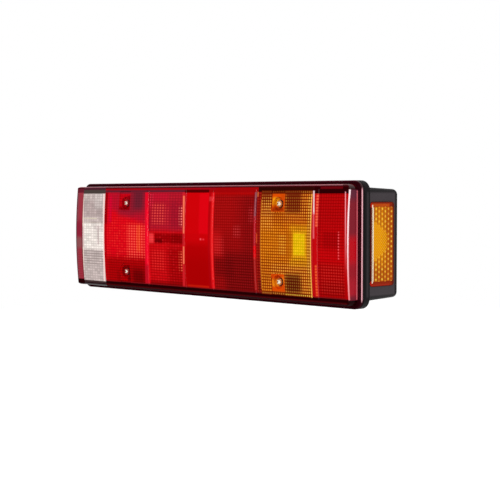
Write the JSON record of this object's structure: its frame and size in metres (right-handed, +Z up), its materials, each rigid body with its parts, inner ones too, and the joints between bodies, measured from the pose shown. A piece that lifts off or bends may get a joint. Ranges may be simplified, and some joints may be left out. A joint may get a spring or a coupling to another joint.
{
  "type": "truck tail light cluster",
  "caption": "Long rectangular truck tail light cluster with clear, red and amber lens sections, an amber side marker on one end, rear mounting studs and a rear electrical inlet.",
  "frame": {"origin": "centre of the four rear studs, in the plane of the pads they stand on", "axes": "the lens faces -Y and the studs point along +Y; +X runs along the lamp to the side marker; +Z up"},
  "size_m": [0.46, 0.1163, 0.131],
  "materials": {
    "black_plastic": "satin moulded black plastic",
    "red_lens": "glossy transparent red plastic",
    "clear_lens": "glossy clear plastic",
    "amber_lens": "glossy transparent amber plastic",
    "plated_steel": "zinc plated",
    "seal_rubber": "matt",
    "silvered_plastic": "vacuum silvered",
    "clear_bulb": "clear glass",
    "amber_bulb": "amber glass",
    "brass": "stamped, bare",
    "grey_plastic": "moulded"
  },
  "bodies": {
    "root": {"housing": "black_plastic", "lens_gasket": "seal_rubber", "lens_body": "red_lens", "reverse_window": "clear_lens", "indicator_window": "amber_lens", "reflex_panel": "red_lens", "lens_screws": "plated_steel", "screw_seals": "seal_rubber", "reflector_tray": "silvered_plastic", "tray_screws": "plated_steel", "reverse_bulb": "clear_bulb", "fog_bulb": "clear_bulb", "tail_bulb": "clear_bulb", "stop_bulb": "clear_bulb", "indicator_bulb": "amber_bulb", "position_bulb": "clear_bulb", "reverse_socket": "brass", "fog_socket": "brass", "tail_socket": "brass", "stop_socket": "brass", "indicator_socket": "brass", "position_socket": "brass", "earth_strip": "brass", "reverse_feed": "brass", "fog_feed": "brass", "tail_feed": "brass", "stop_feed": "brass", "indicator_feed": "brass", "position_feed": "brass", "connector_shell": "grey_plastic", "connector_gasket": "seal_rubber", "vent_plug": "grey_plastic", "side_marker_lens": "amber_lens", "side_marker_gasket": "seal_rubber", "mounting_studs": "plated_steel", "stud_seals": "seal_rubber"}
  },
  "joints": []
}
